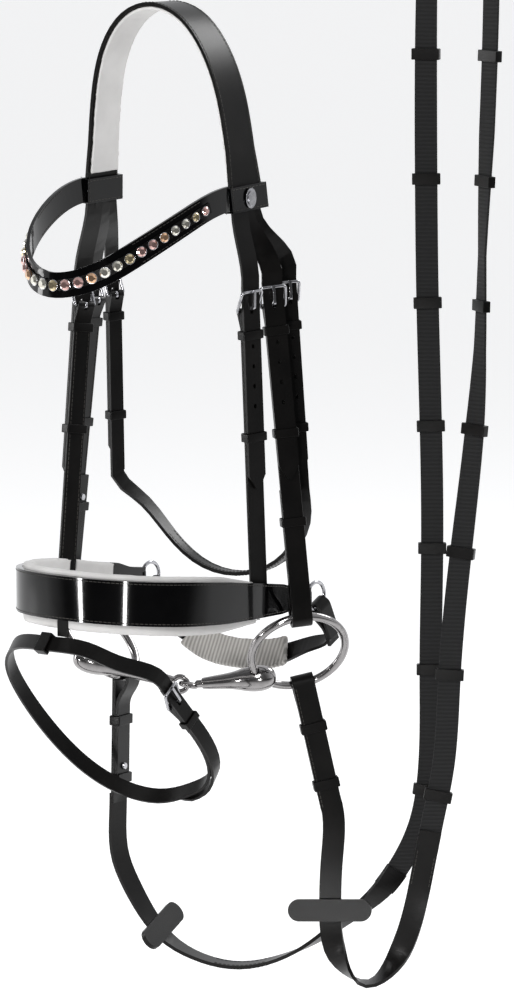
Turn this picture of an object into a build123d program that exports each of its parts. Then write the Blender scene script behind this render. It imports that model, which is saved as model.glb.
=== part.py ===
"""Snaffle bridle: headpiece, browband, flash noseband, loose ring bit, reins."""
import os
from math import cos, radians, sin

from build123d import *

os.makedirs("parts", exist_ok=True)

# leather and clearances
FIT = 0.3
LEATHER = 3.0
BILLET = 2.6
KEEPER_WALL = 1.5

# strap widths
CROWN_WIDTH = 34.0
HANGER_WIDTH = 15.9
CHEEK_WIDTH = 16.5
THROAT_WIDTH = 12.0
FLASH_WIDTH = 12.5
REIN_WIDTH = 18.0
CHIN_WIDTH = 16.0

# buckles
WIRE = 1.25
TONGUE = 2.2
BAR_DROP = FIT + 2.0 + FIT + WIRE
CHAPE_ROUND = WIRE + FIT + 2.0
BUCKLE_RISE = 17.0

# bit
RING_RADIUS = 38.7
RING_WIRE = 3.3
HOOK_RADIUS = 6.3
MOUTH_RADIUS = 10.5
EYE_RADIUS = 6.0
EYE_WIRE = 2.2


def strap_plane(origin, low, across):
    """Plane with x down the strap, y out of its face and z across it."""
    down = (Vector(*low) - Vector(*origin)).normalized()
    side = Vector(*across)
    side = (side - down * side.dot(down)).normalized()
    return Plane(origin=origin, x_dir=down, z_dir=side)


def moved(plane, down, out):
    """The same plane shifted down the strap and out of its face."""
    spot = plane.origin + plane.x_dir * down + plane.y_dir * out
    return Plane(origin=spot, x_dir=plane.x_dir, z_dir=plane.z_dir)


def face_plane(plane):
    """Plane lying in the strap's face, z outward."""
    return Plane(origin=plane.origin, x_dir=plane.x_dir, z_dir=plane.y_dir)


def spot(plane, down, out):
    """World point at a distance down the strap and out of its face."""
    point = plane.origin + plane.x_dir * down + plane.y_dir * out
    return (point.X, point.Y, point.Z)


def stations(route, count, start=0.0, end=1.0):
    """Points, directions, cross directions and widths spread along a route."""
    points = [Vector(*entry[0]) for entry in route]
    marks = [0.0]
    for first, second in zip(points, points[1:]):
        marks.append(marks[-1] + (second - first).length)
    marks = [mark / marks[-1] for mark in marks]
    path = Edge.make_spline(points, parameters=marks)
    result = []
    for step in range(count + 1):
        mark = start + (end - start) * step / count
        leg = 0
        while leg < len(marks) - 2 and marks[leg + 1] < mark:
            leg += 1
        share = (mark - marks[leg]) / (marks[leg + 1] - marks[leg])
        across = Vector(*route[leg][1]) * (1 - share)
        across = across + Vector(*route[leg + 1][1]) * share
        wide = route[leg][2] * (1 - share) + route[leg + 1][2] * share
        way = path.tangent_at(mark)
        across = (across - way * across.dot(way)).normalized()
        result.append((path.position_at(mark), way, across, wide))
    return result


def ribbon(route, thick, count, lift=0.0, drop=0.0, start=0.0, end=1.0):
    """Strap lofted along a route; lift moves it out of its face."""
    with BuildPart() as strap:
        for point, way, across, wide in stations(route, count, start, end):
            with BuildSketch(Plane(origin=point, x_dir=across, z_dir=way)):
                with Locations((drop, lift)):
                    Rectangle(wide, thick)
        loft(ruled=True)
    return strap.part


def chape(plane, width, length):
    """Strap whose top end is folded round a buckle bar."""
    with BuildPart() as strap:
        with BuildSketch(plane):
            with Locations((0, -BAR_DROP)):
                Circle(CHAPE_ROUND)
            low = -FIT - LEATHER
            inner = -BAR_DROP - CHAPE_ROUND + 0.1
            Polygon(
                (0, -FIT), (length, -FIT), (length, low), (13, low), (0, inner), align=None
            )
            with Locations((0, -BAR_DROP)):
                Circle(WIRE + FIT, mode=Mode.SUBTRACT)
        extrude(amount=width / 2, both=True)
        with BuildSketch(plane):
            Polygon((-5, 1), (3.8, 1), (3.8, -9), (-5, -9), align=None)
        extrude(amount=TONGUE / 2 + 0.7, both=True, mode=Mode.SUBTRACT)
    return strap.part


def buckle_frame(plane, width):
    """Wire loop with its bottom bar inside the billet and its top bar outside."""
    bottom = Vector(*spot(plane, 0, -BAR_DROP))
    top = Vector(*spot(plane, -BUCKLE_RISE, BILLET + FIT + WIRE))
    tall = (top - bottom).length
    slope = Plane(origin=bottom, x_dir=plane.z_dir, z_dir=(top - bottom).cross(plane.z_dir))
    half = width / 2 + 0.6 + WIRE
    with BuildPart() as frame:
        with BuildLine(slope) as loop:
            sign = 1 if slope.y_dir.dot(top - bottom) > 0 else -1
            FilletPolyline(
                (half, 0), (half, sign * tall), (-half, sign * tall), (-half, 0),
                radius=2.6, close=True,
            )
        with BuildSketch(Plane(origin=loop.line @ 0, z_dir=loop.line % 0)):
            Circle(WIRE)
        sweep()
    return frame.part


def tongue(plane):
    """Flat tongue pivoting on the bottom bar and resting over the top bar."""
    tip_height = BILLET + FIT + 2 * WIRE + FIT + TONGUE / 2
    with BuildPart() as pin:
        with BuildSketch(plane):
            with BuildLine():
                FilletPolyline(
                    (0, -BAR_DROP), (-4.0, BILLET + 3.0),
                    (-BUCKLE_RISE - 1.6, tip_height + 0.1), radius=1.5,
                )
            trace(line_width=TONGUE)
            with Locations((0, -BAR_DROP)):
                Circle(WIRE + 1.75)
                Circle(WIRE + 0.2, mode=Mode.SUBTRACT)
        extrude(amount=TONGUE / 2, both=True)
    return pin.part


def keeper(plane, width, inner, outer, at, wide):
    """Leather loop round a stack of straps."""
    with BuildPart() as loop:
        with BuildSketch(Plane(origin=spot(plane, at, 0), x_dir=plane.z_dir, z_dir=plane.x_dir)):
            side = Plane(origin=(0, 0, 0), x_dir=plane.z_dir, z_dir=plane.x_dir).y_dir
            sign = 1 if side.dot(plane.y_dir) > 0 else -1
            middle = sign * (inner + outer) / 2
            tall = outer - inner + 2 * FIT
            with Locations((0, middle)):
                Rectangle(width + 2 * FIT + 2 * KEEPER_WALL, tall + 2 * KEEPER_WALL)
                Rectangle(width + 2 * FIT, tall, mode=Mode.SUBTRACT)
        extrude(amount=wide / 2, both=True)
    return loop.part


def billet(plane, width, tip, holes):
    """Straight strap end with a tongue slot, punched holes and a point."""
    face = face_plane(plane)
    with BuildPart() as strap:
        with BuildSketch(face):
            Polygon(
                (-21, -width / 2), (tip - width * 0.7, -width / 2), (tip, -1.5), (tip, 1.5),
                (tip - width * 0.7, width / 2), (-21, width / 2), align=None,
            )
            with Locations((-1.9, 0)):
                SlotOverall(6.4, TONGUE + 0.7, mode=Mode.SUBTRACT)
            for count in range(holes):
                with Locations((27 + 16 * count, 0)):
                    SlotOverall(3.6, 2.4, mode=Mode.SUBTRACT)
        extrude(amount=BILLET)
    return strap.part


def hook_part(plane, width, main, back, radius=HOOK_RADIUS, thick=LEATHER):
    """Strap end turned round a ring wire and brought back on the inside."""
    inner = radius - thick - FIT
    with BuildPart() as strap:
        with BuildSketch(plane):
            with BuildLine():
                Line((main, radius), (0, radius))
                ThreePointArc((0, radius), (-radius, 0), (0, -radius))
                Spline((0, -radius), (radius * 4, inner), tangents=((1, 0), (1, 0)))
                Line((radius * 4, inner), (back, inner))
            trace(line_width=thick)
        extrude(amount=width / 2, both=True)
    return strap.part


def stud_hole(plane, back):
    """Round hole through the returned end for its stud."""
    inner = HOOK_RADIUS - LEATHER * 1.5 - FIT
    with BuildPart() as hole:
        with BuildSketch(face_plane(moved(plane, back - 18, inner - 0.1))):
            Circle(2.1)
        extrude(amount=LEATHER + 0.25)
    return hole.part


def hook_stud(plane, back):
    """Small metal stud that buttons the returned end."""
    base = HOOK_RADIUS - LEATHER / 2
    with BuildPart() as stud:
        with BuildSketch(face_plane(moved(plane, back - 18, base))):
            Circle(1.7)
        extrude(amount=-LEATHER - 1.2)
        with BuildSketch(face_plane(moved(plane, back - 18, base - LEATHER - 0.7))):
            Circle(3.1)
        extrude(amount=-1.6, taper=20)
    return stud.part


def save(part, name):
    """Label one node and write it."""
    part.label = name
    export_step(part, "parts/" + name + ".step")


# side frames, one for each buckled strap, at the buckle's bar
NEAR_HANGER = strap_plane((85, 4.9, -236), (81, 22, -448), (-0.26, -0.966, 0))
NEAR_CHEEK = strap_plane((90, 29, -234), (106, 43.2, -462), (-0.643, -0.766, 0))
NEAR_THROAT = strap_plane((88, 52.3, -232), (94, 60, -373), (-0.643, -0.766, 0))
FAR_HANGER = strap_plane((-86, 3.4, -241), (-81, -24.5, -448), (0.26, 0.966, 0))
FAR_CHEEK = strap_plane((-94, 27, -239), (-108, 10, -462), (-0.1, 0.995, 0))
FAR_THROAT = strap_plane((-92, 50, -236), (-96, 58, -369), (0.3, 0.954, 0))

# ring planes: x down the ring, z along its axis
NEAR_REACH = 250
FAR_REACH = 247
HOOK_OUT = -FIT - LEATHER / 2 - HOOK_RADIUS
NEAR_DOWN = Vector(-0.44, 0.369, -0.819)
FAR_DOWN = Vector(0.647, 0.065, -0.70)


def ring_plane(cheek, reach, down):
    """Plane of a bit ring hanging in the loop of a cheekpiece."""
    across = cheek.z_dir
    down = down - across * down.dot(across)
    axis = down.cross(across)
    top = Vector(*spot(cheek, reach, HOOK_OUT))
    return Plane(origin=top + down.normalized() * RING_RADIUS, x_dir=down, z_dir=axis)


def on_ring(plane, angle):
    """Point on a ring's wire and the wire's direction there."""
    turn = radians(angle)
    point = plane.origin + (plane.x_dir * cos(turn) + plane.y_dir * sin(turn)) * RING_RADIUS
    way = plane.y_dir * cos(turn) - plane.x_dir * sin(turn)
    return point, way


NEAR_RING = ring_plane(NEAR_CHEEK, NEAR_REACH, NEAR_DOWN)
FAR_RING = ring_plane(FAR_CHEEK, FAR_REACH, FAR_DOWN)
NEAR_HOLE = 49
FAR_HOLE = -62
NEAR_REIN_HOOK = -9
FAR_REIN_HOOK = 3
JOINT = Vector(1, 26, -546)

# sections along the lofted pieces, shared by the layers that lie on each other
CROWN_STEPS = 48
BROW_STEPS = 56
NOSE_STEPS = 72
CHIN_STEPS = 40
WEB_STEPS = 130

# headpiece: one strap over the poll that splits into three points on each side
NEAR_TOP = (0.14, 0.99, 0)
FAR_TOP = (0.1, 0.995, 0)
BACK = (0, 1, 0)
crown_route = [
    ((81, 6, -156), NEAR_TOP, CROWN_WIDTH), ((80, 5, -140), NEAR_TOP, CROWN_WIDTH),
    ((76.5, 3, -108), BACK, CROWN_WIDTH), ((69, 1, -66), BACK, CROWN_WIDTH),
    ((52.5, 0, -28), BACK, CROWN_WIDTH), ((28, 0, -3.5), BACK, CROWN_WIDTH),
    ((0, 0, 4), BACK, CROWN_WIDTH), ((-25, 0, -4), BACK, CROWN_WIDTH),
    ((-46, 0, -29), BACK, CROWN_WIDTH), ((-57.5, 1, -67), BACK, CROWN_WIDTH),
    ((-63, 3, -108), BACK, CROWN_WIDTH), ((-66.5, 5, -140), FAR_TOP, CROWN_WIDTH),
    ((-67.5, 6, -156), FAR_TOP, CROWN_WIDTH),
]


def point_route(leg, plane, width):
    """Route of one headpiece point from the leg down to its straight part."""
    across = (abs(plane.z_dir.X), abs(plane.z_dir.Y), 0)
    if plane is FAR_CHEEK:
        across = (-0.1, 0.995, 0)
    upper, lower = leg
    return [
        (upper[0], upper[1], width), (lower[0], lower[1], width),
        (spot(plane, -34, BILLET / 2), across, width),
        (spot(plane, -19, BILLET / 2), across, width),
    ]


near_legs = [
    (((80.4, -2, -146), NEAR_TOP), ((82, -1.5, -172), (0.2, 0.98, 0))),
    (((80.8, 5, -146), NEAR_TOP), ((83, 9, -172), (0.3, 0.95, 0))),
    (((81.5, 15, -146), NEAR_TOP), ((83.5, 22, -172), (0.3, 0.95, 0))),
]
far_legs = [
    (((-67.7, -3, -146), FAR_TOP), ((-68.6, -2.5, -165), (0.15, 0.99, 0))),
    (((-66.9, 5, -146), FAR_TOP), ((-67.9, 6.5, -165), (0.05, 1, 0))),
    (((-65.9, 15, -146), FAR_TOP), ((-67.2, 17, -165), (0.15, 0.99, 0))),
]
near_planes = [NEAR_HANGER, NEAR_CHEEK, NEAR_THROAT]
far_planes = [FAR_HANGER, FAR_CHEEK, FAR_THROAT]
widths = [HANGER_WIDTH, CHEEK_WIDTH, THROAT_WIDTH]
tips = [142, 137, 134]

crown = ribbon(crown_route, 2.8, CROWN_STEPS)
strands = []
for legs, planes in ((near_legs, near_planes), (far_legs, far_planes)):
    for leg, plane, width, tip in zip(legs, planes, widths, tips):
        strands.append(ribbon(point_route(leg, plane, width), BILLET, 8))
        strands.append(billet(plane, width, tip, 4))
with BuildPart() as headpiece:
    add(crown)
    for strand in strands:
        add(strand)
save(headpiece.part, "headpiece")

lining_route = [(point, across, 31) for point, across, wide in crown_route]
lining = ribbon(
    lining_route, 2.4, CROWN_STEPS - 6, 3.2, 0, 3 / CROWN_STEPS, 1 - 3 / CROWN_STEPS
)
save(lining, "headpiece_lining")

# browband
UP = (0, 0, 1)
BROW = 20.0
brow_route = [
    ((78.2, -13.6, -146), UP, BROW), ((77.4, -30, -149), UP, BROW), ((72, -62, -162), UP, BROW),
    ((55, -99, -184), UP, BROW), ((29, -124, -203), UP, BROW), ((0, -132, -209), UP, BROW),
    ((-29, -124, -203), UP, BROW), ((-53, -99, -184), UP, BROW), ((-66, -62, -162), UP, BROW),
    ((-69, -30, -149), UP, BROW), ((-68.8, -13.4, -146), UP, BROW),
]
brow_strip = ribbon(brow_route, 3.0, BROW_STEPS)


def leg_loop(centre, low, across, width):
    """Leather tunnel round a headpiece leg."""
    plane = strap_plane(centre, low, across)
    return keeper(plane, width, -3.0, 3.0, 0, BROW)


near_loop = leg_loop((80.3, 5.2, -146), (81, 6, -156), (-0.14, -0.99, 0), CROWN_WIDTH + 1.6)
far_loop = leg_loop((-66.9, 5.4, -146), (-67.5, 6, -156), (0.1, 0.995, 0), CROWN_WIDTH + 1.6)
with BuildPart() as browband:
    add(brow_strip)
    add(near_loop)
    add(far_loop)
save(browband.part, "browband")

# crystals on a strip along the middle of the browband
crystal_route = [(point, across, 8.4) for point, across, wide in brow_route]
strip = ribbon(
    crystal_route, 0.8, BROW_STEPS - 8, -2.3, 0, 4 / BROW_STEPS, 1 - 4 / BROW_STEPS
)
stones = []
CRYSTALS = 27
for point, way, across, wide in stations(crystal_route, CRYSTALS + 1, 0.06, 0.94)[1:-1]:
    out = across.cross(way)
    middle = abs(len(stones) - (CRYSTALS - 1) / 2) / ((CRYSTALS - 1) / 2)
    with BuildPart() as stone:
        with BuildSketch(Plane(origin=point + out * 2.4, x_dir=across, z_dir=out)):
            Circle(3.9 - 0.9 * middle)
        extrude(amount=2.6, taper=24)
    stones.append(stone.part)
with BuildPart() as crystals:
    add(strip)
    for stone in stones:
        add(stone)
save(crystals.part, "browband_crystals")

# noseband
nose_plan = [
    (86, 80, 16), (85.5, 60, 18), (85.5, 44, 24), (87, 12, 28), (87, -28, 33), (82, -66, 35),
    (68, -97, 35), (42, -119, 35), (0, -128, 35), (-42, -119, 35), (-68, -97, 35),
    (-82, -66, 35), (-87, -28, 33), (-87, 12, 30), (-85.5, 44, 26), (-85.5, 60, 18),
    (-86, 80, 16),
]
NOSE_FRONT = -454.5
NOSE_FALL = 0.0855


def nose_height(back):
    """Height of the noseband's middle at a distance back from the front."""
    return NOSE_FRONT - NOSE_FALL * (back + 128)


nose_route = [((x, y, nose_height(y)), UP, wide) for x, y, wide in nose_plan]
pad_route = []
for x, y, wide in nose_plan:
    margin = 12 if y < 0 else 6
    pad_route.append(((x, y, nose_height(y)), UP, wide + margin))
cover = ribbon(nose_route, 5.0, NOSE_STEPS)
padding = ribbon(
    pad_route, 8.0, NOSE_STEPS - 14, 7.0, -2.5, 7 / NOSE_STEPS, 1 - 7 / NOSE_STEPS
)
tab_spots = [(86, 78.5), (-86, 78.5)]
RING_DROP = nose_height(80)
EYELET_RADIUS = 11.0
EYELET_WIRE = 1.6
eyelets = []
tab_rolls = []
for x, y in tab_spots:
    with BuildPart(Plane.YZ.offset(x)) as eyelet:
        with Locations((y + EYELET_RADIUS, RING_DROP)):
            Torus(EYELET_RADIUS, EYELET_WIRE)
    eyelets.append(eyelet.part)
    with BuildPart() as roll:
        with Locations((x, y, RING_DROP)):
            Cylinder(3.6, 9)
    tab_rolls.append(roll.part)
tab_cuts = []
for x, y in tab_spots:
    with BuildPart(Plane.YZ.offset(x)) as cut:
        with Locations((y + EYELET_RADIUS, RING_DROP)):
            Torus(EYELET_RADIUS, EYELET_WIRE + FIT)
    tab_cuts.append(cut.part)
hanger_pockets = []
for plane in (NEAR_HANGER, FAR_HANGER):
    with BuildPart() as pocket:
        with BuildSketch(plane):
            Polygon(
                (190, 9), (250, 9), (250, -FIT - LEATHER - FIT), (190, -FIT - LEATHER - FIT),
                align=None,
            )
        extrude(amount=HANGER_WIDTH / 2 + FIT, both=True)
    hanger_pockets.append(pocket.part)

# flash strap loop below the front of the noseband
FLASH_TAB = (0, -123.8, -475.2)
with BuildPart() as flash_tab:
    with Locations(FLASH_TAB):
        Box(11, 2, 22)
with BuildPart() as flash_pocket:
    with Locations(FLASH_TAB):
        Box(11.6, 2.6, 22.6)

with BuildPart() as noseband:
    add(cover)
    for roll in tab_rolls:
        add(roll)
    for cut in tab_cuts:
        add(cut, mode=Mode.SUBTRACT)
save(noseband.part, "noseband")
with BuildPart() as noseband_padding:
    add(padding)
    for pocket in hanger_pockets:
        add(pocket, mode=Mode.SUBTRACT)
    add(flash_pocket.part, mode=Mode.SUBTRACT)
save(noseband_padding.part, "noseband_padding")
with BuildPart() as noseband_rings:
    for eyelet in eyelets:
        add(eyelet)
save(noseband_rings.part, "noseband_rings")

# strap ends, buckles and loops on both sides
hanger_lengths = {"near": 234, "far": 228}
hanger_planes = {"near": NEAR_HANGER, "far": FAR_HANGER}
cheek_planes = {"near": NEAR_CHEEK, "far": FAR_CHEEK}
throat_planes = {"near": NEAR_THROAT, "far": FAR_THROAT}
reaches = {"near": NEAR_REACH, "far": FAR_REACH}
STRAP_IN = -FIT - LEATHER
HOOK_BACK = 104

for hand in ("near", "far"):
    cheek = cheek_planes[hand]
    reach = reaches[hand]
    save(chape(hanger_planes[hand], HANGER_WIDTH, hanger_lengths[hand]), hand + "_hanger")
    hook_frame = Plane(
        origin=spot(cheek, reach, HOOK_OUT), x_dir=-cheek.x_dir, z_dir=-cheek.z_dir
    )
    cheek_top = chape(cheek, CHEEK_WIDTH, reach - 2)
    cheek_end = hook_part(hook_frame, CHEEK_WIDTH, 30, HOOK_BACK)
    cheek_hole = stud_hole(hook_frame, HOOK_BACK)
    with BuildPart() as cheekpiece:
        add(cheek_top)
        add(cheek_end)
        add(cheek_hole, mode=Mode.SUBTRACT)
    save(cheekpiece.part, hand + "_cheekpiece")

    trio = (
        ("hanger", hanger_planes[hand], HANGER_WIDTH), ("cheek", cheek, CHEEK_WIDTH),
        ("throat", throat_planes[hand], THROAT_WIDTH),
    )
    loops = []
    for name, plane, width in trio:
        save(buckle_frame(plane, width), hand + "_" + name + "_buckle")
        save(tongue(plane), hand + "_" + name + "_tongue")
        loops.append(keeper(plane, width, STRAP_IN, BILLET, 18, 7))
        runner = keeper(plane, width, STRAP_IN, BILLET, 100, 7)
        save(runner, hand + "_" + name + "_runner")
    loops.append(keeper(cheek, CHEEK_WIDTH, STRAP_IN * 2, -FIT, reach - 78, 7))
    with BuildPart() as keepers:
        for loop in loops:
            add(loop)
    save(keepers.part, hand + "_keepers")

# throatlatch
throat_ends = []
for hand in ("near", "far"):
    throat_ends.append(chape(throat_planes[hand], THROAT_WIDTH, 146))
NEAR_SIDE = (0.643, 0.766, 0)
FAR_SIDE = (0.3, 0.954, 0)
throat_route = [
    (spot(NEAR_THROAT, 138, -1.8), NEAR_SIDE, THROAT_WIDTH),
    (spot(NEAR_THROAT, 150, -1.8), NEAR_SIDE, THROAT_WIDTH),
    ((87, 72, -410), (0.3, 0.95, 0), THROAT_WIDTH), ((67, 78, -438), BACK, THROAT_WIDTH),
    ((37, 80, -455), BACK, THROAT_WIDTH), ((5, 80, -460), BACK, THROAT_WIDTH),
    ((-27, 80, -453), BACK, THROAT_WIDTH), ((-59, 79, -430), BACK, THROAT_WIDTH),
    ((-83, 72, -404), (0.2, 0.98, 0), THROAT_WIDTH),
    (spot(FAR_THROAT, 150, -1.8), FAR_SIDE, THROAT_WIDTH),
    (spot(FAR_THROAT, 138, -1.8), FAR_SIDE, THROAT_WIDTH),
]
throat_middle = ribbon(throat_route, LEATHER, 26)
with BuildPart() as throatlatch:
    add(throat_middle)
    for end in throat_ends:
        add(end)
save(throatlatch.part, "throatlatch")

# crank strap and chin pad
CRANK_FOLD = 5.6
FOLD_WIDTH = 13.0
crank_ends = []
crank_starts = []
for x, y in tab_spots:
    low = Vector(0, 0.45, -0.893)
    bar = Vector(x, y + EYELET_RADIUS, RING_DROP) + low * EYELET_RADIUS
    frame = Plane(origin=bar, x_dir=low, z_dir=Vector(0, -x, -0.504 * x))
    crank_ends.append(hook_part(frame, FOLD_WIDTH, 27, 34, CRANK_FOLD, 2.6))
    crank_starts.append(frame)
CHIN = (0, 0.45, 0.893)
SIDE_CHIN = (0, 0.893, 0.45)
near_start, far_start = crank_starts
chin_route = [
    (spot(near_start, 20, CRANK_FOLD), SIDE_CHIN, FOLD_WIDTH),
    (spot(near_start, 27, CRANK_FOLD - 1), SIDE_CHIN, FOLD_WIDTH),
    ((74, 104, -514), (0, 0.8, 0.6), CHIN_WIDTH), ((46, 101, -525), CHIN, CHIN_WIDTH),
    ((8, 96, -530), CHIN, CHIN_WIDTH), ((-32, 98, -526), CHIN, CHIN_WIDTH),
    ((-70, 104, -514), (0, 0.8, 0.6), CHIN_WIDTH),
    (spot(far_start, 27, CRANK_FOLD - 1), SIDE_CHIN, FOLD_WIDTH),
    (spot(far_start, 20, CRANK_FOLD), SIDE_CHIN, FOLD_WIDTH),
]
chin_band = ribbon(chin_route, 2.6, CHIN_STEPS)
with BuildPart() as crank_strap:
    add(chin_band)
    for end in crank_ends:
        add(end)
save(crank_strap.part, "crank_strap")
pad_line = [(point, across, CHIN_WIDTH + 9) for point, across, wide in chin_route]
save(ribbon(pad_line, 5.0, CHIN_STEPS // 2, -4.5, 0, 0.25, 0.75), "chin_pad")

# flash strap
FLASH_SIDE = (0, 0.62, 0.785)
FLASH = strap_plane((52, -46, -545), (57, -24, -572), (0, -0.62, -0.785))
FLASH_THICK = 2.4
INNER_LAYER = -FIT - FLASH_THICK / 2
flash_inner = [
    spot(FLASH, 24, INNER_LAYER), spot(FLASH, 34, INNER_LAYER), (54, -5, -600),
    (43, 3, -615), (23, 5, -626), (-5, 1, -634), (-31, -11, -629), (-54, -27, -613),
    (-75, -46, -585), (-88, -68, -550), (-83, -92, -520), (-60, -113, -500),
    (-30, -127, -493), (-4, -130, -492), (14, -118, -495), (31, -92, -509),
    spot(FLASH, -30, BILLET / 2), spot(FLASH, -19, BILLET / 2),
]
flash_route = [(point, FLASH_SIDE, FLASH_WIDTH) for point in flash_inner]
flash_tail = [
    spot(FLASH, 24, BILLET / 2), spot(FLASH, 34, BILLET / 2), (57.5, -4.5, -602),
    (45.5, 4.5, -618.5), (24, 7, -630), (10, 7, -633),
]
tail_route = [(point, FLASH_SIDE, FLASH_WIDTH) for point in flash_tail[:-1]]
tail_route.append((flash_tail[-1], FLASH_SIDE, FLASH_WIDTH * 0.4))
flash_body = ribbon(flash_route, FLASH_THICK, 72)
flash_end = ribbon(tail_route, FLASH_THICK, 14)
flash_fold = chape(FLASH, FLASH_WIDTH, 28)
with BuildPart() as flash_front:
    with BuildSketch(face_plane(FLASH)):
        Polygon(
            (-21, -FLASH_WIDTH / 2), (27, -FLASH_WIDTH / 2), (27, FLASH_WIDTH / 2),
            (-21, FLASH_WIDTH / 2), align=None,
        )
        with Locations((-1.9, 0)):
            SlotOverall(6.4, TONGUE + 0.7, mode=Mode.SUBTRACT)
    extrude(amount=BILLET)
with BuildPart() as flash_strap:
    add(flash_body)
    add(flash_front.part)
    add(flash_end)
    add(flash_fold)
save(flash_strap.part, "flash_strap")
save(buckle_frame(FLASH, FLASH_WIDTH), "flash_buckle")
save(tongue(FLASH), "flash_tongue")
save(keeper(FLASH, FLASH_WIDTH, STRAP_IN, BILLET, 19, 6), "flash_keeper")
front, way, side, wide = min(stations(flash_route, 90), key=lambda entry: entry[0].Y)
flash_top = Plane(origin=front, x_dir=way, z_dir=side)
flash_ring = keeper(flash_top, FLASH_WIDTH + 0.6, -1.6, 1.6, 0, 11)
with BuildPart() as flash_loop:
    add(flash_ring)
    add(flash_tab.part)
save(flash_loop.part, "flash_loop")

# bit
for name, frame in (("near_bit_ring", NEAR_RING), ("far_bit_ring", FAR_RING)):
    with BuildPart() as ring:
        with Locations(frame):
            Torus(RING_RADIUS, RING_WIRE)
    save(ring.part, name)


def mouth_half(frame, angle, eye_normal):
    """Hollow mouthpiece half with a ring hole at the butt and an eye at the joint."""
    hole, way = on_ring(frame, angle)
    axis = (JOINT - hole).normalized()
    length = (JOINT - hole).length - EYE_RADIUS + EYE_WIRE + FIT
    upright = axis.cross(way)
    body = Plane(origin=hole, x_dir=axis, z_dir=upright)
    eye = Plane(origin=hole + axis * length, x_dir=axis, z_dir=eye_normal)
    with BuildPart() as half:
        with BuildSketch(body):
            with BuildLine():
                Spline(
                    (-12, 0), (-8.5, 7.6), (0, MOUTH_RADIUS), (14, 9.4), (31, 6.2),
                    (length - 14, 3.9), (length - EYE_RADIUS, 3.2), tangents=((0, 1), (1, 0)),
                )
                Line((length - EYE_RADIUS, 3.2), (length - EYE_RADIUS, 0))
                Line((length - EYE_RADIUS, 0), (-12, 0))
            make_face()
        revolve(axis=Axis(hole, axis))
        with Locations(eye):
            Cylinder(EYE_RADIUS, 20, mode=Mode.SUBTRACT)
            Torus(EYE_RADIUS, EYE_WIRE)
        with Locations(frame):
            Torus(RING_RADIUS, RING_WIRE + 0.6, mode=Mode.SUBTRACT)
    return half.part


save(mouth_half(NEAR_RING, NEAR_HOLE, Vector(0.1, 0.2, 1)), "near_mouthpiece")
save(mouth_half(FAR_RING, FAR_HOLE, Vector(0.4, -0.9, 0.1)), "far_mouthpiece")

# reins: points down from the bit, up to the hand buckle over the frame
ACROSS = (0.788, 0.616, 0)
AWAY = (-0.616, 0.788, 0)


def blend(first, second):
    """Level direction mixed from the across and away directions."""
    mix = Vector(*ACROSS) * first + Vector(*AWAY) * second
    return (mix.X, mix.Y, mix.Z)


def rein_frame(ring, angle):
    """Plane of a rein end hanging from a ring."""
    point, way = on_ring(ring, angle)
    down = (Vector(0, 0, -1) - way * Vector(0, 0, -1).dot(way)).normalized()
    return Plane(origin=point, x_dir=down, z_dir=way)


NEAR_REIN = rein_frame(NEAR_RING, NEAR_REIN_HOOK)
FAR_REIN = rein_frame(FAR_RING, FAR_REIN_HOOK)
HAND = strap_plane((184, 147, 92), (194, 154.8, 92), (0.616, -0.788, 0))
REIN_MAIN = 104
REIN_BACK = 92

near_line = [
    (spot(NEAR_REIN, 96, HOOK_RADIUS), (0.706, 0.696, 0.13)),
    (spot(NEAR_REIN, 110, HOOK_RADIUS), (0.72, 0.69, 0.1)),
    ((98.5, 95, -690), blend(1, 0)), ((100.5, 90.5, -725), blend(1, -0.05)),
    ((105.5, 88.5, -757), blend(0.95, -0.3)), ((115, 92, -777), blend(0.5, -0.8)),
    ((130, 100, -788), blend(0, -1)), ((146, 109, -775), blend(0.5, -0.8)),
    ((158, 114, -752), blend(0.9, -0.35)), ((169, 120, -704), blend(1, 0)),
    ((177, 126, -651), blend(1, 0)), ((183, 131, -610), blend(1, 0)),
    ((187, 134, -536), blend(1, 0)), ((194, 139, -433), blend(0.95, -0.3)),
    ((202, 145, -338), blend(0.8, -0.6)), ((205, 148, -270), blend(0.45, -0.9)),
    ((206, 149, -194), blend(0.25, -0.97)), ((209, 150, -98), blend(0.6, -0.8)),
    ((211, 152, 7), blend(0.62, -0.78)), ((209, 161, 58), blend(0.2, -0.98)),
    (spot(HAND, 29, -12), blend(0, -1)), (spot(HAND, 22, -4.2), blend(0, -1)),
    (spot(HAND, 14, -1.9), blend(0, -1)), (spot(HAND, 9, -1.8), blend(0, -1)),
]
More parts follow.
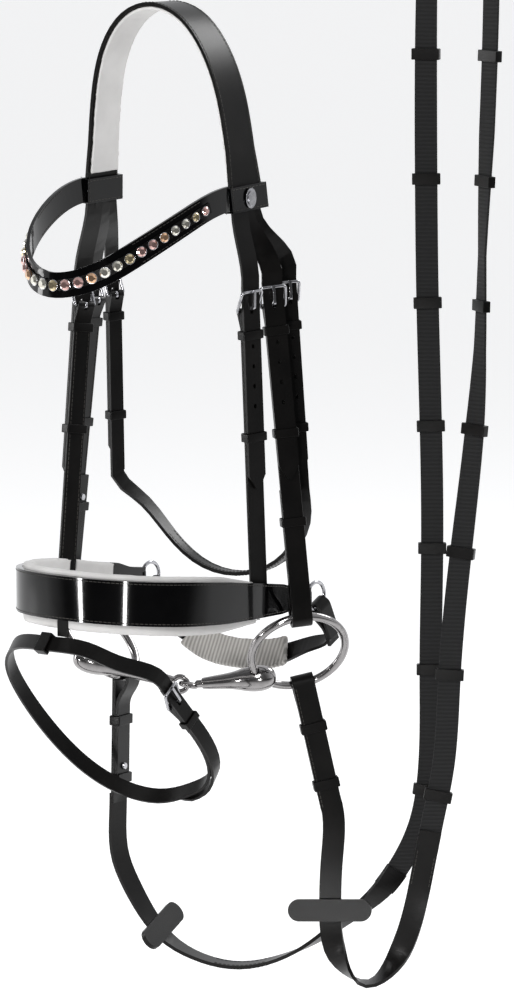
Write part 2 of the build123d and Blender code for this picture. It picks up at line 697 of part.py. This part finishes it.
far_line = [
    (spot(FAR_REIN, 96, HOOK_RADIUS), (0.054, 0.985, -0.164)),
    (spot(FAR_REIN, 110, HOOK_RADIUS), (0.054, 0.985, -0.164)),
    ((-54, 10, -690), (0.1, 0.99, 0)), ((-46, 17, -718), (0.1, 0.99, 0)),
    ((-36, 24, -740), (0, 1, 0)), ((-22, 33, -760), (-0.2, 0.97, 0)),
    ((-3, 46, -774), (-0.4, 0.9, 0)), ((27, 64, -781), (-0.5, 0.86, 0)),
    ((53, 79, -775), (-0.4, 0.9, 0)), ((78, 94, -761), (-0.1, 1, 0)),
    ((106, 110, -737), (0.3, 0.95, 0)), ((125, 120, -719), (0.5, 0.86, 0)),
    ((141, 129, -695), blend(1, 0.1)), ((154, 138, -662), blend(1, 0)),
    ((160, 143, -620), blend(1, 0)), ((161, 144, -536), blend(1, 0)),
    ((162, 144, -436), blend(1, 0)), ((161, 143, -340), blend(1, 0)),
    ((158, 142, -242), blend(1, 0)), ((156.5, 141, -137), blend(1, 0)),
    ((156, 141, 7), blend(0.9, -0.4)), ((158, 133, 58), blend(0.3, -0.95)),
    (spot(HAND, -31, -12), blend(0, -1)), (spot(HAND, -25, -2.5), blend(0, -1)),
    (spot(HAND, -19.5, 1), blend(0, -1)), (spot(HAND, -15, BILLET / 2), blend(0, -1)),
]
near_route = [(point, across, REIN_WIDTH) for point, across in near_line]
far_route = [(point, across, REIN_WIDTH) for point, across in far_line]


def mark_at(route, height, low, high):
    """Share of the route at which its rising side reaches a height."""
    for count in range(30):
        middle = (low + high) / 2
        point = stations(route, 1, middle, middle + 0.001)[0][0]
        if point.Z < height:
            low = middle
        else:
            high = middle
    return low


def rein_stop(route, mark, thick, half):
    """Small leather loop sewn round the rein."""
    point, way, across, wide = stations(route, 1, mark, mark + 0.001)[0]
    with BuildPart() as stop:
        with BuildSketch(Plane(origin=point, x_dir=across, z_dir=way)):
            Rectangle(wide + 4.6, thick + 4.4)
            Rectangle(wide + 1.0, thick + 1.2, mode=Mode.SUBTRACT)
        extrude(amount=half, both=True)
    return stop.part


def martingale_stop(route, mark, side):
    """Oval leather plate with a loop behind it that slides on the rein."""
    point, way, across, wide = stations(route, 1, mark, mark + 0.001)[0]
    across = (across - way * across.dot(way)).normalized()
    section = Plane(origin=point, x_dir=across, z_dir=way)
    out = section.y_dir * side
    base = point + out * (LEATHER / 2 + 1.6)
    with BuildPart() as stop:
        with BuildSketch(Plane(origin=base, x_dir=across, z_dir=out)):
            SlotOverall(68, 18)
        extrude(amount=4)
        with BuildSketch(section):
            Rectangle(wide + 5.2, LEATHER + 6.2)
            Rectangle(wide + 2.0, LEATHER + 3.2, mode=Mode.SUBTRACT)
        extrude(amount=2.8, both=True)
    return stop.part


WEB_THICK = 2.0
SLEEVE = 1.2
STOP_TOP = -37
STOP_PITCH = 99.0
frames = {"near": NEAR_REIN, "far": FAR_REIN}
routes = {"near": near_route, "far": far_route}
leather_ends = {"near": -752, "far": -738}
lows = {"near": 0.28, "far": 0.3}
plates = {"near": (0.085, 1), "far": (0.105, 1)}
hands = {"near": 14, "far": -16}

for hand in ("near", "far"):
    frame = frames[hand]
    route = routes[hand]
    low = lows[hand]
    leather_end = mark_at(route, leather_ends[hand], low, 0.9)
    web_end = mark_at(route, 22, low, 0.98)
    fold = hook_part(frame, REIN_WIDTH, REIN_MAIN, REIN_BACK)
    hole = stud_hole(frame, REIN_BACK)
    lower = ribbon(route, LEATHER, 44, 0, 0, 0, leather_end)
    front = ribbon(route, SLEEVE, 6, 2.05, 0, leather_end - 0.01, leather_end + 0.006)
    back = ribbon(route, SLEEVE, 6, -2.05, 0, leather_end - 0.01, leather_end + 0.006)
    with BuildPart() as rein:
        add(lower)
        add(fold)
        add(front)
        add(back)
        add(hole, mode=Mode.SUBTRACT)
    save(rein.part, hand + "_rein_leather")
    web = ribbon(route, WEB_THICK, WEB_STEPS, 0, 0, leather_end + 0.0008, web_end)
    save(web, hand + "_rein_web")
    top = ribbon(route, BILLET, 20, 0, 0, web_end + 0.0008, 1)
    if hand == "near":
        end = chape(HAND, REIN_WIDTH, 16)
    else:
        end = billet(HAND, REIN_WIDTH, 34, 0)
    with BuildPart() as upper:
        add(top)
        add(end)
    save(upper.part, hand + "_rein_hand_part")
    stops = [rein_stop(route, web_end, LEATHER, 4.5)]
    for count in range(7):
        mark = mark_at(route, STOP_TOP - STOP_PITCH * count, low, 0.98)
        stops.append(rein_stop(route, mark, WEB_THICK, 4.5))
    with BuildPart() as stop_set:
        for stop in stops:
            add(stop)
    save(stop_set.part, hand + "_rein_stops")
    mark, side = plates[hand]
    save(martingale_stop(route, mark, side), hand + "_martingale_stop")
    keepers = [
        keeper(frame, REIN_WIDTH, 1.3, 7.6, 36, 8), keeper(frame, REIN_WIDTH, 1.3, 7.6, 84, 8),
    ]
    with BuildPart() as rein_keepers:
        for loop in keepers:
            add(loop)
    save(rein_keepers.part, hand + "_rein_keepers")
    cheek = cheek_planes[hand]
    hook_frame = Plane(
        origin=spot(cheek, reaches[hand], HOOK_OUT), x_dir=-cheek.x_dir, z_dir=-cheek.z_dir
    )
    studs = [hook_stud(hook_frame, HOOK_BACK), hook_stud(frame, REIN_BACK)]
    with BuildPart() as hook_studs:
        for stud in studs:
            add(stud)
    save(hook_studs.part, hand + "_hook_studs")

save(buckle_frame(HAND, REIN_WIDTH), "hand_buckle")
save(tongue(HAND), "hand_tongue")

# oval bosses on the browband loops
bosses = []
for centre, out in (((80.3, 5.2, -146), NEAR_TOP), ((-66.9, 5.4, -146), FAR_TOP)):
    sign = 1 if centre[0] > 0 else -1
    face = Vector(out[1] * sign, -out[0] * sign, 0)
    start = Vector(*centre) + face * 5.65
    with BuildPart() as boss:
        with BuildSketch(Plane(origin=start, x_dir=(0, 0, 1), z_dir=face)):
            Ellipse(8, 5.5)
        extrude(amount=1)
        with BuildSketch(Plane(origin=start + face, x_dir=(0, 0, 1), z_dir=face)):
            Ellipse(6, 3.7)
        extrude(amount=1)
    bosses.append(boss.part)
with BuildPart() as browband_bosses:
    for boss in bosses:
        add(boss)
save(browband_bosses.part, "browband_bosses")
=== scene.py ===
"""Snaffle bridle: leather, padding, crystals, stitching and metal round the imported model."""
import math

import bmesh
import bpy
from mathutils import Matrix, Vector


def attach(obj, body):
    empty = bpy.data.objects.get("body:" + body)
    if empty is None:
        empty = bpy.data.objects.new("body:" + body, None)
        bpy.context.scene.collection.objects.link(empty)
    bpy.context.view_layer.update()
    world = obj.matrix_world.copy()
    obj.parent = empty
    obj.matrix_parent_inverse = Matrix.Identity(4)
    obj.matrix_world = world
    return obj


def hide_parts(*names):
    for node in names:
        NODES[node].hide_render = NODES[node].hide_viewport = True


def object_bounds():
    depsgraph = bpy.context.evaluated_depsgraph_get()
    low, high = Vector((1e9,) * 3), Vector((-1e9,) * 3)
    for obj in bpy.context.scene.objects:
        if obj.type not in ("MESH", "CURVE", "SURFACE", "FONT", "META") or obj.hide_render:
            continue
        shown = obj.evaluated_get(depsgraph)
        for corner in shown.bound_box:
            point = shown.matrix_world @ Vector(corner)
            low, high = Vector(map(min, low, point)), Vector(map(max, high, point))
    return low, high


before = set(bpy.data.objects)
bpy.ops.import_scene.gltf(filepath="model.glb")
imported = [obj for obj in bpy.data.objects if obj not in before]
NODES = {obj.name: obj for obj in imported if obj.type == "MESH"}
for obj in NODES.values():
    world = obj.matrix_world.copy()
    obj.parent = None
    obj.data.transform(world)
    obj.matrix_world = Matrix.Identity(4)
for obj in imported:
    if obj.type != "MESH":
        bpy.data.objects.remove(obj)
cad_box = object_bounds()
ROOT = "bridle"
MM = 0.001


# materials

def new_material(name):
    """Empty node material with its shader, ready for texture nodes."""
    material = bpy.data.materials.new(name)
    material.use_nodes = True
    return material, material.node_tree.nodes, material.node_tree.links


def set_values(node, **values):
    """Set named inputs of one shader node."""
    for name, value in values.items():
        node.inputs[name.replace("_", " ")].default_value = value


def grain(nodes, links, scale, strength, distance, detail=4.0):
    """Bump from a fine noise, in object space; returns the coordinates and the noise."""
    place = nodes.new("ShaderNodeTexCoord")
    noise = nodes.new("ShaderNodeTexNoise")
    bump = nodes.new("ShaderNodeBump")
    set_values(noise, Scale=scale, Detail=detail, Roughness=0.55)
    set_values(bump, Strength=strength, Distance=distance)
    links.new(place.outputs["Object"], noise.inputs["Vector"])
    links.new(noise.outputs["Fac"], bump.inputs["Height"])
    links.new(bump.outputs["Normal"], nodes["Principled BSDF"].inputs["Normal"])
    return place, noise


def two_tone(nodes, links, factor, dark, light):
    """Base colour between two tones, driven by a texture's value."""
    ramp = nodes.new("ShaderNodeValToRGB")
    ramp.color_ramp.elements[0].position = 0.35
    ramp.color_ramp.elements[1].position = 0.7
    ramp.color_ramp.elements[0].color = (*dark, 1)
    ramp.color_ramp.elements[1].color = (*light, 1)
    links.new(factor, ramp.inputs["Fac"])
    links.new(ramp.outputs["Color"], nodes["Principled BSDF"].inputs["Base Color"])


def leather(name, dark, light, roughness, coat, scale=900.0, strength=0.25):
    """Fine grained leather with a slight change of tone."""
    material, nodes, links = new_material(name)
    shader = nodes["Principled BSDF"]
    set_values(shader, Roughness=roughness, Coat_Weight=coat, Coat_Roughness=0.25)
    set_values(shader, Specular_IOR_Level=0.18)
    place, _ = grain(nodes, links, scale, strength, 0.0003)
    patches = nodes.new("ShaderNodeTexNoise")
    set_values(patches, Scale=35.0, Detail=3.0)
    links.new(place.outputs["Object"], patches.inputs["Vector"])
    two_tone(nodes, links, patches.outputs["Fac"], dark, light)
    return material


def patent(name):
    """Deep black lacquered leather with a faint waviness."""
    material, nodes, links = new_material(name)
    shader = nodes["Principled BSDF"]
    set_values(shader, Roughness=0.10, Specular_IOR_Level=0.15)
    set_values(shader, Coat_Weight=0.35, Coat_Roughness=0.03)
    _, noise = grain(nodes, links, 60.0, 0.12, 0.0006, 2.0)
    two_tone(nodes, links, noise.outputs["Fac"], (0.0006, 0.0006, 0.0008), (0.0016, 0.0016, 0.0018))
    return material


def metal(name, dark, light, roughness, strength=0.06):
    """Polished metal with fine scratches."""
    material, nodes, links = new_material(name)
    set_values(nodes["Principled BSDF"], Metallic=1.0, Roughness=roughness)
    _, noise = grain(nodes, links, 240.0, strength, 0.0002)
    two_tone(nodes, links, noise.outputs["Fac"], dark, light)
    return material


def ribbed(name, dark, light, pitch, roughness, direction="Z"):
    """Woven webbing or mesh with ribs across it."""
    material, nodes, links = new_material(name)
    shader = nodes["Principled BSDF"]
    set_values(shader, Roughness=roughness, Sheen_Weight=0.04)
    place = nodes.new("ShaderNodeTexCoord")
    wave = nodes.new("ShaderNodeTexWave")
    wave.bands_direction = direction
    set_values(wave, Scale=math.pi / pitch / 10, Distortion=0.6, Detail=2.0)
    bump = nodes.new("ShaderNodeBump")
    set_values(bump, Strength=0.7, Distance=0.0006)
    links.new(place.outputs["Object"], wave.inputs["Vector"])
    links.new(wave.outputs["Fac"], bump.inputs["Height"])
    links.new(bump.outputs["Normal"], shader.inputs["Normal"])
    two_tone(nodes, links, wave.outputs["Fac"], dark, light)
    return material


def gem(name, colour):
    """Foil backed crystal."""
    material, nodes, links = new_material(name)
    shader = nodes["Principled BSDF"]
    set_values(shader, Roughness=0.05, Metallic=0.9, Coat_Weight=0.6, Coat_Roughness=0.02)
    _, noise = grain(nodes, links, 420.0, 0.05, 0.0002)
    warm = tuple(min(1.0, tone * 1.15 + 0.08) for tone in colour)
    two_tone(nodes, links, noise.outputs["Fac"], colour, warm)
    return material


BLACK = leather("black_leather", (0.0016, 0.0014, 0.0013), (0.0045, 0.004, 0.0037), 0.33, 0.03)
PATENT = patent("patent_leather")
WHITE = leather("white_leather", (0.66, 0.65, 0.64), (0.74, 0.73, 0.72), 0.62, 0.05, 500.0)
PADDING = leather("padding", (0.60, 0.59, 0.58), (0.69, 0.68, 0.67), 0.6, 0.05, 420.0, 0.4)
STEEL = metal("steel", (0.36, 0.36, 0.38), (0.55, 0.55, 0.57), 0.18)
BIT = metal("bit_metal", (0.30, 0.29, 0.29), (0.35, 0.34, 0.34), 0.13, 0.01)
SILVER = metal("silver", (0.40, 0.40, 0.42), (0.58, 0.58, 0.60), 0.20)
WEBBING = ribbed("webbing", (0.0012, 0.0012, 0.0014), (0.006, 0.006, 0.0065), 0.0032, 0.85)
MESH = ribbed("mesh", (0.30, 0.29, 0.27), (0.50, 0.48, 0.46), 0.0036, 0.75, "X")
THREAD = leather("thread", (0.030, 0.028, 0.026), (0.070, 0.066, 0.060), 0.55, 0.0, 2500.0)
GEMS = [
    gem("crystal_white", (0.85, 0.80, 0.70)), gem("crystal_peach", (0.80, 0.48, 0.28)),
    gem("crystal_pink", (0.75, 0.46, 0.42)), gem("crystal_gold", (0.72, 0.60, 0.36)),
]


def finish_of(node):
    """Material of a CAD node that is shown."""
    if node in ("browband", "noseband"):
        return PATENT
    if node.endswith(("bit_ring", "mouthpiece")):
        return BIT
    if node.endswith("rein_web"):
        return WEBBING
    if node == "browband_bosses":
        return SILVER
    if node.endswith(("buckle", "tongue", "studs", "rings")):
        return STEEL
    return BLACK


# CAD nodes: material, joined faces, rounded edges

def soften(obj, width, segments):
    """Weld the faces, round the edges and shade smoothly, by modifiers alone."""
    for polygon in obj.data.polygons:
        polygon.use_smooth = True
    weld = obj.modifiers.new("weld", "WELD")
    weld.merge_threshold = 0.00002
    bevel = obj.modifiers.new("rounded", "BEVEL")
    bevel.width = width
    bevel.segments = segments
    bevel.limit_method = "ANGLE"
    bevel.angle_limit = math.radians(42)
    bevel.harden_normals = False
    normals = obj.modifiers.new("normals", "WEIGHTED_NORMAL")
    normals.keep_sharp = False


STRAP_EDGE = 0.55 * MM
METAL_EDGE = 0.25 * MM
KEEPER_EDGE = 0.9 * MM

for name, node in NODES.items():
    node.data.materials.clear()
    node.data.materials.append(finish_of(name))
    if name.endswith(("bit_ring", "mouthpiece")):
        for polygon in node.data.polygons:
            polygon.use_smooth = True
        continue
    edge = STRAP_EDGE
    if name.endswith(("buckle", "tongue", "studs", "rings", "bosses")):
        edge = METAL_EDGE
    if "keeper" in name or "runner" in name:
        edge = KEEPER_EDGE
    soften(node, edge, 2)


# soft pieces

def welded(name):
    """The mesh of a CAD node, its vertices joined, in a new bmesh."""
    mesh = bmesh.new()
    mesh.from_mesh(NODES[name].data)
    bmesh.ops.remove_doubles(mesh, verts=mesh.verts, dist=0.00002)
    return mesh


def new_object(name, mesh, material, body=ROOT):
    """Object from a bmesh, riding on a body."""
    data = bpy.data.meshes.new(name)
    mesh.to_mesh(data)
    mesh.free()
    data.materials.append(material)
    obj = bpy.data.objects.new(name, data)
    bpy.context.collection.objects.link(obj)
    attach(obj, body)
    return obj


def padded_copy(node, name, material, voxel, rounds):
    """Softly rounded pad in the space of a CAD solid."""
    pad = new_object(name, welded(node), material)
    remesh = pad.modifiers.new("remesh", "REMESH")
    remesh.mode = "VOXEL"
    remesh.voxel_size = voxel
    smooth = pad.modifiers.new("smooth", "SMOOTH")
    smooth.factor = 0.6
    smooth.iterations = rounds
    remesh.use_smooth_shade = True
    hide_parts(node)
    return pad


padded_copy("headpiece_lining", "crown_padding", WHITE, 0.0009, 3)
padded_copy("noseband_padding", "nose_padding", PADDING, 0.0016, 8)
padded_copy("chin_pad", "chin_padding", MESH, 0.0012, 5)


# crystals

def top_faces(mesh):
    """Centres, normals and radii of the round flat faces on top of the stones."""
    seen = set()
    found = []
    for face in mesh.faces:
        if face in seen:
            continue
        region = [face]
        seen.add(face)
        for member in region:
            for edge in member.edges:
                for other in edge.link_faces:
                    if other not in seen and other.normal.angle(face.normal, 1.0) < 0.01:
                        seen.add(other)
                        region.append(other)
        area = sum(member.calc_area() for member in region)
        corners = {vertex for member in region for vertex in member.verts}
        if len(corners) < 12 or not 6e-6 < area < 40e-6:
            continue
        centre = sum((vertex.co for vertex in corners), Vector()) / len(corners)
        reach = [(vertex.co - centre).length for vertex in corners]
        if max(reach) < 1.15 * min(reach):
            found.append((centre, face.normal.copy(), max(reach)))
    return found


def add_gem(mesh, centre, normal, radius):
    """Cut stone with a flat table over two rings of facets."""
    side = normal.orthogonal().normalized()
    other = normal.cross(side)
    rings = []
    for share, height, count, turn in ((1.0, -0.45, 16, 0), (1.0, 0.0, 16, 0), (0.6, 0.42, 8, 0.5)):
        ring = []
        for step in range(count):
            angle = 2 * math.pi * (step + turn) / count
            flat = side * math.cos(angle) + other * math.sin(angle)
            ring.append(mesh.verts.new(centre + flat * radius * share + normal * radius * height))
        rings.append(ring)
    base, girdle, table = rings
    for step in range(16):
        following = (step + 1) % 16
        mesh.faces.new((base[step], base[following], girdle[following], girdle[step]))
    for step in range(8):
        first, second, third = girdle[2 * step], girdle[2 * step + 1], girdle[(2 * step + 2) % 16]
        before, here = table[step - 1], table[step]
        mesh.faces.new((first, second, here))
        mesh.faces.new((second, third, here))
        mesh.faces.new((first, here, before))
    mesh.faces.new(table)
    mesh.faces.new(list(reversed(base)))


def add_tube(mesh, points, radius, sides=6, closed=False):
    """Tube through points; ends are capped where it is open."""
    rings = []
    side = None
    count = len(points)
    for index, point in enumerate(points):
        after = points[(index + 1) % count] if closed or index < count - 1 else point
        before = points[index - 1] if closed or index > 0 else point
        way = (after - before).normalized()
        side = way.orthogonal() if side is None else side - way * side.dot(way)
        side.normalize()
        other = way.cross(side)
        ring = []
        for step in range(sides):
            angle = 2 * math.pi * step / sides
            flat = side * math.cos(angle) + other * math.sin(angle)
            ring.append(mesh.verts.new(point + flat * radius))
        rings.append(ring)
    spans = count if closed else count - 1
    for index in range(spans):
        low, high = rings[index], rings[(index + 1) % count]
        for step in range(sides):
            following = (step + 1) % sides
            mesh.faces.new((low[step], low[following], high[following], high[step]))
    if not closed:
        mesh.faces.new(list(reversed(rings[0])))
        mesh.faces.new(rings[-1])


GEM_MARGIN = 1.5 * MM
GEM_SINK = 0.9 * MM
RIM_SINK = 1.3 * MM
RIM_MARGIN = 0.15 * MM
RIM_RADIUS = 0.35 * MM
RIM_SIDES = 16

stone_mesh = welded("browband_crystals")
stones = sorted(top_faces(stone_mesh), key=lambda stone: stone[0].x)
stone_mesh.free()
tones = [bmesh.new() for tone in GEMS]
settings = bmesh.new()
for index, (centre, normal, radius) in enumerate(stones):
    width = radius + GEM_MARGIN
    pick = (index * 7 + index // 3) % len(GEMS)
    add_gem(tones[pick], centre - normal * GEM_SINK, normal, width)
    side = normal.orthogonal().normalized()
    other = normal.cross(side)
    rim = []
    for step in range(RIM_SIDES):
        angle = 2 * math.pi * step / RIM_SIDES
        flat = side * math.cos(angle) + other * math.sin(angle)
        rim.append(centre - normal * RIM_SINK + flat * (width + RIM_MARGIN))
    add_tube(settings, rim, RIM_RADIUS, 6, True)
for tone, material in enumerate(GEMS):
    new_object("crystals_%d" % tone, tones[tone], material)
rims = new_object("crystal_settings", settings, SILVER)


# stitching along the long edges of the straps

STITCH_INSET = 1.9 * MM
STITCH_PITCH = 3.6 * MM
STITCH_LENGTH = 2.5 * MM
STITCH_LIFT = 0.12 * MM
STITCH_DIP = 0.16 * MM
THREAD_RADIUS = 0.3 * MM
SHORTEST_RUN = 25 * MM
SHORTEST_EDGE = 2 * MM
LEAST_WIDE = 9 * MM
MOST_THIN = 6 * MM


def strap_edges(mesh):
    """Edges between a wide face and the strap's thin side, each with its wide face."""
    result = {}
    for edge in mesh.edges:
        if len(edge.link_faces) != 2:
            continue
        first, second = edge.link_faces
        if first.normal.angle(second.normal, 0) < math.radians(60):
            continue
        length = edge.calc_length()
        if length < SHORTEST_EDGE:
            continue
        widths = [2 * face.calc_area() / length for face in (first, second)]
        wide = first if widths[0] > widths[1] else second
        if max(widths) < LEAST_WIDE or min(widths) > MOST_THIN:
            continue
        result[edge] = wide
    return result


def next_edge(end, face, left):
    """Unused edge that goes on from a vertex, beside a face turned much the same way."""
    for edge in end.link_edges:
        if edge in left and left[edge].normal.dot(face.normal) > 0.8:
            return edge
    return None


def runs(edges):
    """Chains of joined edges, each a list of (start, end, face)."""
    left = dict(edges)
    chains = []
    while left:
        edge, face = left.popitem()
        chain = [(edge.verts[0], edge.verts[1], face)]
        while following := next_edge(chain[-1][1], chain[-1][2], left):
            end = chain[-1][1]
            chain.append((end, following.other_vert(end), left.pop(following)))
        while following := next_edge(chain[0][0], chain[0][2], left):
            start = chain[0][0]
            chain.insert(0, (following.other_vert(start), start, left.pop(following)))
        chains.append(chain)
    return chains


def stitch(mesh, node):
    """Lay stitches beside the strap's long edges."""
    source = welded(node)
    for chain in runs(strap_edges(source)):
        total = sum((end.co - start.co).length for start, end, face in chain)
        if total < SHORTEST_RUN:
            continue
        offset = STITCH_PITCH
        for start, end, face in chain:
            way = end.co - start.co
            span = way.length
            way.normalize()
            inward = face.normal.cross(way)
            middle = face.calc_center_median() - start.co
            if inward.dot(middle) < 0:
                inward.negate()
            while offset < span:
                centre = start.co + way * offset + inward * STITCH_INSET + face.normal * STITCH_LIFT
                half = way * STITCH_LENGTH / 2
                low = face.normal * STITCH_DIP
                path = [
                    centre - half - low, centre - half * 0.6,
                    centre + half * 0.6, centre + half - low,
                ]
                add_tube(mesh, path, THREAD_RADIUS, 5)
                offset += STITCH_PITCH
            offset -= span
    source.free()


thread = bmesh.new()
STITCHED = [
    "headpiece", "noseband", "browband", "near_cheekpiece", "far_cheekpiece", "near_hanger",
    "far_hanger", "throatlatch", "flash_strap", "crank_strap", "near_rein_leather",
    "far_rein_leather", "near_rein_hand_part", "far_rein_hand_part",
]
for name in STITCHED:
    stitch(thread, name)
stitching = new_object("stitching", thread, THREAD)


# stage, light and camera

def area_light(name, place, target, size, power, colour=(1, 1, 1)):
    """Soft light panel aimed at a point."""
    data = bpy.data.lights.new(name, "AREA")
    data.shape = "RECTANGLE"
    data.size, data.size_y = size
    data.energy = power
    data.color = colour
    lamp = bpy.data.objects.new(name, data)
    bpy.context.collection.objects.link(lamp)
    lamp.location = place
    lamp.rotation_mode = "QUATERNION"
    lamp.rotation_quaternion = (Vector(target) - Vector(place)).to_track_quat("-Z", "Y")
    return lamp


FLOOR = cad_box[0].z - 0.05
REACH = 60.0
FRONT = (0.62, -0.79, 0)
FADE_START, FADE_END = 0.1, 0.9

# Floor with painted light: behind and around the object it is pale and glows white by emission
# (painted glow, no lamp); towards the camera it fades to near black, a painted dark floor that keeps
# the black leather's reflections dark
painted_glow_floor_material, painted_glow_floor_nodes, painted_glow_floor_links = new_material("painted_glow_floor")
set_values(painted_glow_floor_nodes["Principled BSDF"], Roughness=0.9, Emission_Color=(1, 1, 1, 1))
spot = painted_glow_floor_nodes.new("ShaderNodeNewGeometry")
ahead = painted_glow_floor_nodes.new("ShaderNodeVectorMath")
ahead.operation = "DOT_PRODUCT"
ahead.inputs[1].default_value = FRONT
painted_glow_floor_links.new(spot.outputs["Position"], ahead.inputs[0])
# painted glow and pale colour near the object, fading to a painted dark floor towards the camera
for socket, lit, dim in (("Base Color", 0.8, 0.06), ("Emission Strength", 0.45, 0.0)):
    fade = painted_glow_floor_nodes.new("ShaderNodeMapRange")
    set_values(fade, From_Min=FADE_START, From_Max=FADE_END, To_Min=lit, To_Max=dim)
    painted_glow_floor_links.new(ahead.outputs["Value"], fade.inputs["Value"])
    painted_glow_floor_links.new(fade.outputs["Result"], painted_glow_floor_nodes["Principled BSDF"].inputs[socket])
floor_mesh = bpy.data.meshes.new("floor")
floor_mesh.from_pydata(
    [(-REACH, -REACH, FLOOR), (REACH, -REACH, FLOOR), (REACH, REACH, FLOOR), (-REACH, REACH, FLOOR)],
    [], [(0, 1, 2, 3)],
)
floor_mesh.materials.append(painted_glow_floor_material)
floor = bpy.data.objects.new("floor", floor_mesh)
bpy.context.collection.objects.link(floor)

world = bpy.data.worlds.new("soft_studio")
world.use_nodes = True
sky_nodes, sky_links = world.node_tree.nodes, world.node_tree.links
sky_way = sky_nodes.new("ShaderNodeTexCoord")
sky_split = sky_nodes.new("ShaderNodeSeparateXYZ")
sky_ramp = sky_nodes.new("ShaderNodeMapRange")
set_values(sky_ramp, From_Min=-0.5, From_Max=0.6, To_Min=0.16, To_Max=0.95)
sky_links.new(sky_way.outputs["Generated"], sky_split.inputs["Vector"])
sky_links.new(sky_split.outputs["Y"], sky_ramp.inputs["Value"])
sky_links.new(sky_ramp.outputs["Result"], sky_nodes["Background"].inputs["Strength"])
sky_nodes["Background"].inputs["Color"].default_value = (0.97, 0.98, 1.0, 1)
bpy.context.scene.world = world

AIM = Vector((0.0595, 0.0465, -0.392))
WINDOW = (0.12, 0.24)
area_light("key", (1.0, -2.4, 0.9), AIM, (0.5, 0.9), 42)
area_light("window_near", (1.05, -1.55, -0.70), AIM, WINDOW, 7)
area_light("window_far", (-0.55, -1.9, -0.70), AIM, WINDOW, 7)
area_light("side", (-2.2, -0.9, 0.1), AIM, (0.5, 1.4), 16)
area_light("back", (0.4, 2.2, 1.3), AIM, (1.2, 0.8), 30)

AZIMUTH = math.radians(38)
ELEVATION = math.radians(8.1)
DISTANCE = 4.04
camera_data = bpy.data.cameras.new("camera")
camera_data.lens = 181.8
camera_data.sensor_width = 36
camera_data.clip_end = 50
camera = bpy.data.objects.new("camera", camera_data)
bpy.context.collection.objects.link(camera)
back = Vector((
    math.sin(AZIMUTH) * math.cos(ELEVATION), -math.cos(AZIMUTH) * math.cos(ELEVATION),
    math.sin(ELEVATION),
))
camera.location = AIM + back * DISTANCE
camera.rotation_mode = "QUATERNION"
camera.rotation_quaternion = (-back).to_track_quat("-Z", "Y")
bpy.context.scene.camera = camera
bpy.context.scene.view_settings.view_transform = "Standard"
